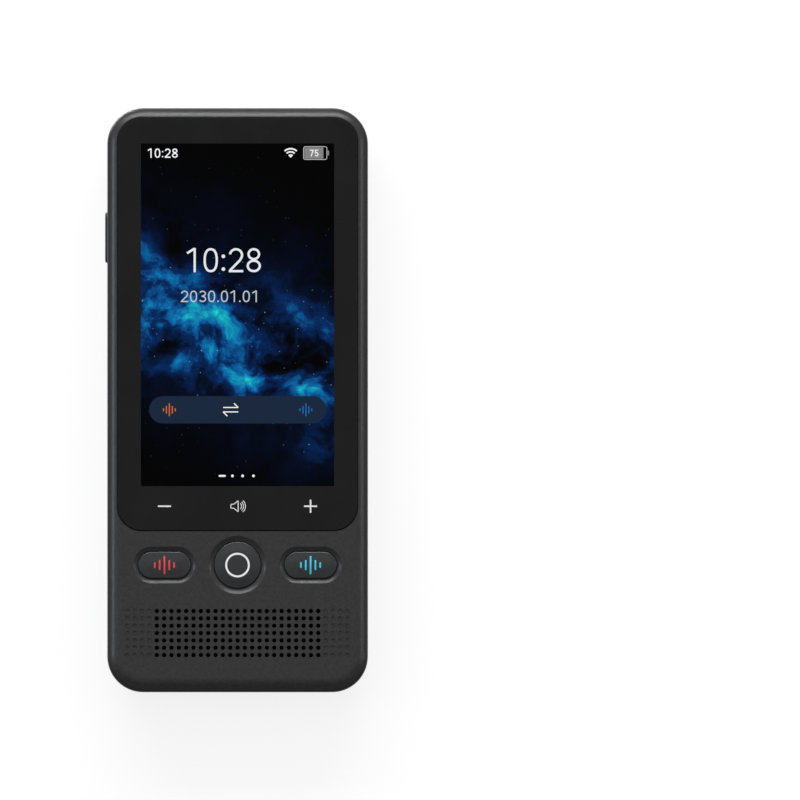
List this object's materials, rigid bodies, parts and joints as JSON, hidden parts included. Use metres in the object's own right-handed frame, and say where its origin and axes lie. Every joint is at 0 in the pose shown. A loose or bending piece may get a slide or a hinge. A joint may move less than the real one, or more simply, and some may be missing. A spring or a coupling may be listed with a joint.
{
  "type": "handheld translator",
  "caption": "Flat bar-shaped talking device with a touch screen, push keys, a speaker grille and a rear camera.",
  "frame": {"origin": "middle of the flat back face; only the camera's ring reaches below it, by 0.5 mm", "axes": "+X to the right as the screen is read, +Y towards the end with the charging port, +Z out of the screen"},
  "size_m": [0.0594, 0.132, 0.0142],
  "materials": {
    "front_plastic": "fine matte texture",
    "rear_paint": "satin grey paint",
    "screen_glass": "polished, printed black behind",
    "display_black": "polished",
    "clear_guide": "clear moulded",
    "bright_steel": "bright pressed sheet",
    "screw_steel": "blackened",
    "dome_steel": "bright spring sheet",
    "frame_alloy": "pressed sheet",
    "ring_alloy": "turned and anodised grey",
    "plate_alloy": "brushed and anodised grey",
    "board_laminate": "green resist",
    "chip_black": "moulded",
    "flex_film": "amber film",
    "battery_wrap": "silver foil pouch",
    "lead_sheath": "smooth sheath",
    "black_foam": "closed-cell foam",
    "black_rubber": "moulded",
    "cone_film": "formed film",
    "mesh_cloth": "black acoustic mesh",
    "camera_glass": "coated",
    "aerial_brass": "plated sheet",
    "key_plastic": "satin",
    "power_plastic": "fine matte texture",
    "mark_red": "let-in resin",
    "mark_cyan": "let-in resin",
    "mark_white": "let-in resin"
  },
  "bodies": {
    "casing": {"front_cover": "front_plastic", "rear_cover": "rear_paint", "cover_glass": "screen_glass", "glass_adhesive": "black_foam", "display_panel": "display_black", "light_guide": "clear_guide", "backlight_tray": "bright_steel", "display_strip": "flex_film", "mid_frame": "frame_alloy", "frame_screws": "screw_steel", "main_board": "board_laminate", "board_screws": "screw_steel", "processor_shield": "bright_steel", "radio_shield": "bright_steel", "board_chips": "chip_black", "board_sockets": "chip_black", "charging_port_shell": "bright_steel", "charging_port_tongue": "chip_black", "battery_cell": "battery_wrap", "battery_tape": "black_foam", "battery_circuit": "board_laminate", "battery_lead": "lead_sheath", "link_strip": "flex_film", "key_board": "board_laminate", "key_board_screws": "screw_steel", "key_board_sockets": "chip_black", "left_key_dome": "dome_steel", "home_key_dome": "dome_steel", "right_key_dome": "dome_steel", "speaker_frame": "chip_black", "speaker_cone": "cone_film", "speaker_magnet": "bright_steel", "speaker_gasket": "black_foam", "speaker_leads": "lead_sheath", "grille_mesh": "mesh_cloth", "camera_ring": "ring_alloy", "camera_plate": "plate_alloy", "camera_window": "camera_glass", "camera_lens": "camera_glass", "camera_barrel": "chip_black", "camera_gasket": "black_foam", "camera_module": "chip_black", "camera_strip": "flex_film", "rear_microphone": "bright_steel", "rear_mic_boot": "black_rubber", "lower_microphone": "bright_steel", "lower_mic_boot": "black_rubber", "lower_mic_strip": "flex_film", "aerial": "aerial_brass", "aerial_spring": "aerial_brass", "power_switch": "chip_black", "power_switch_board": "flex_film"},
    "left_key": {"left_talk_key": "key_plastic", "left_key_mark": "mark_red"},
    "home": {"home_key": "key_plastic", "home_key_mark": "mark_white"},
    "right_key": {"right_talk_key": "key_plastic", "right_key_mark": "mark_cyan"},
    "power": {"power_key": "power_plastic", "power_switch_plunger": "chip_black"}
  },
  "joints": [
    {"name": "left_key_press", "type": "slide", "parent": "casing", "child": "left_key", "axis": [0, 0, -1], "range_m": [0, 0.0003], "stiffness_N_per_m": 3000, "deforming": ["left_key_dome"]},
    {"name": "home_key_press", "type": "slide", "parent": "casing", "child": "home", "axis": [0, 0, -1], "range_m": [0, 0.0003], "stiffness_N_per_m": 3000, "deforming": ["home_key_dome"]},
    {"name": "right_key_press", "type": "slide", "parent": "casing", "child": "right_key", "axis": [0, 0, -1], "range_m": [0, 0.0003], "stiffness_N_per_m": 3000, "deforming": ["right_key_dome"]},
    {"name": "power_key_press", "type": "slide", "parent": "casing", "child": "power", "axis": [1, 0, 0], "range_m": [0, 0.0003], "stiffness_N_per_m": 3000}
  ]
}
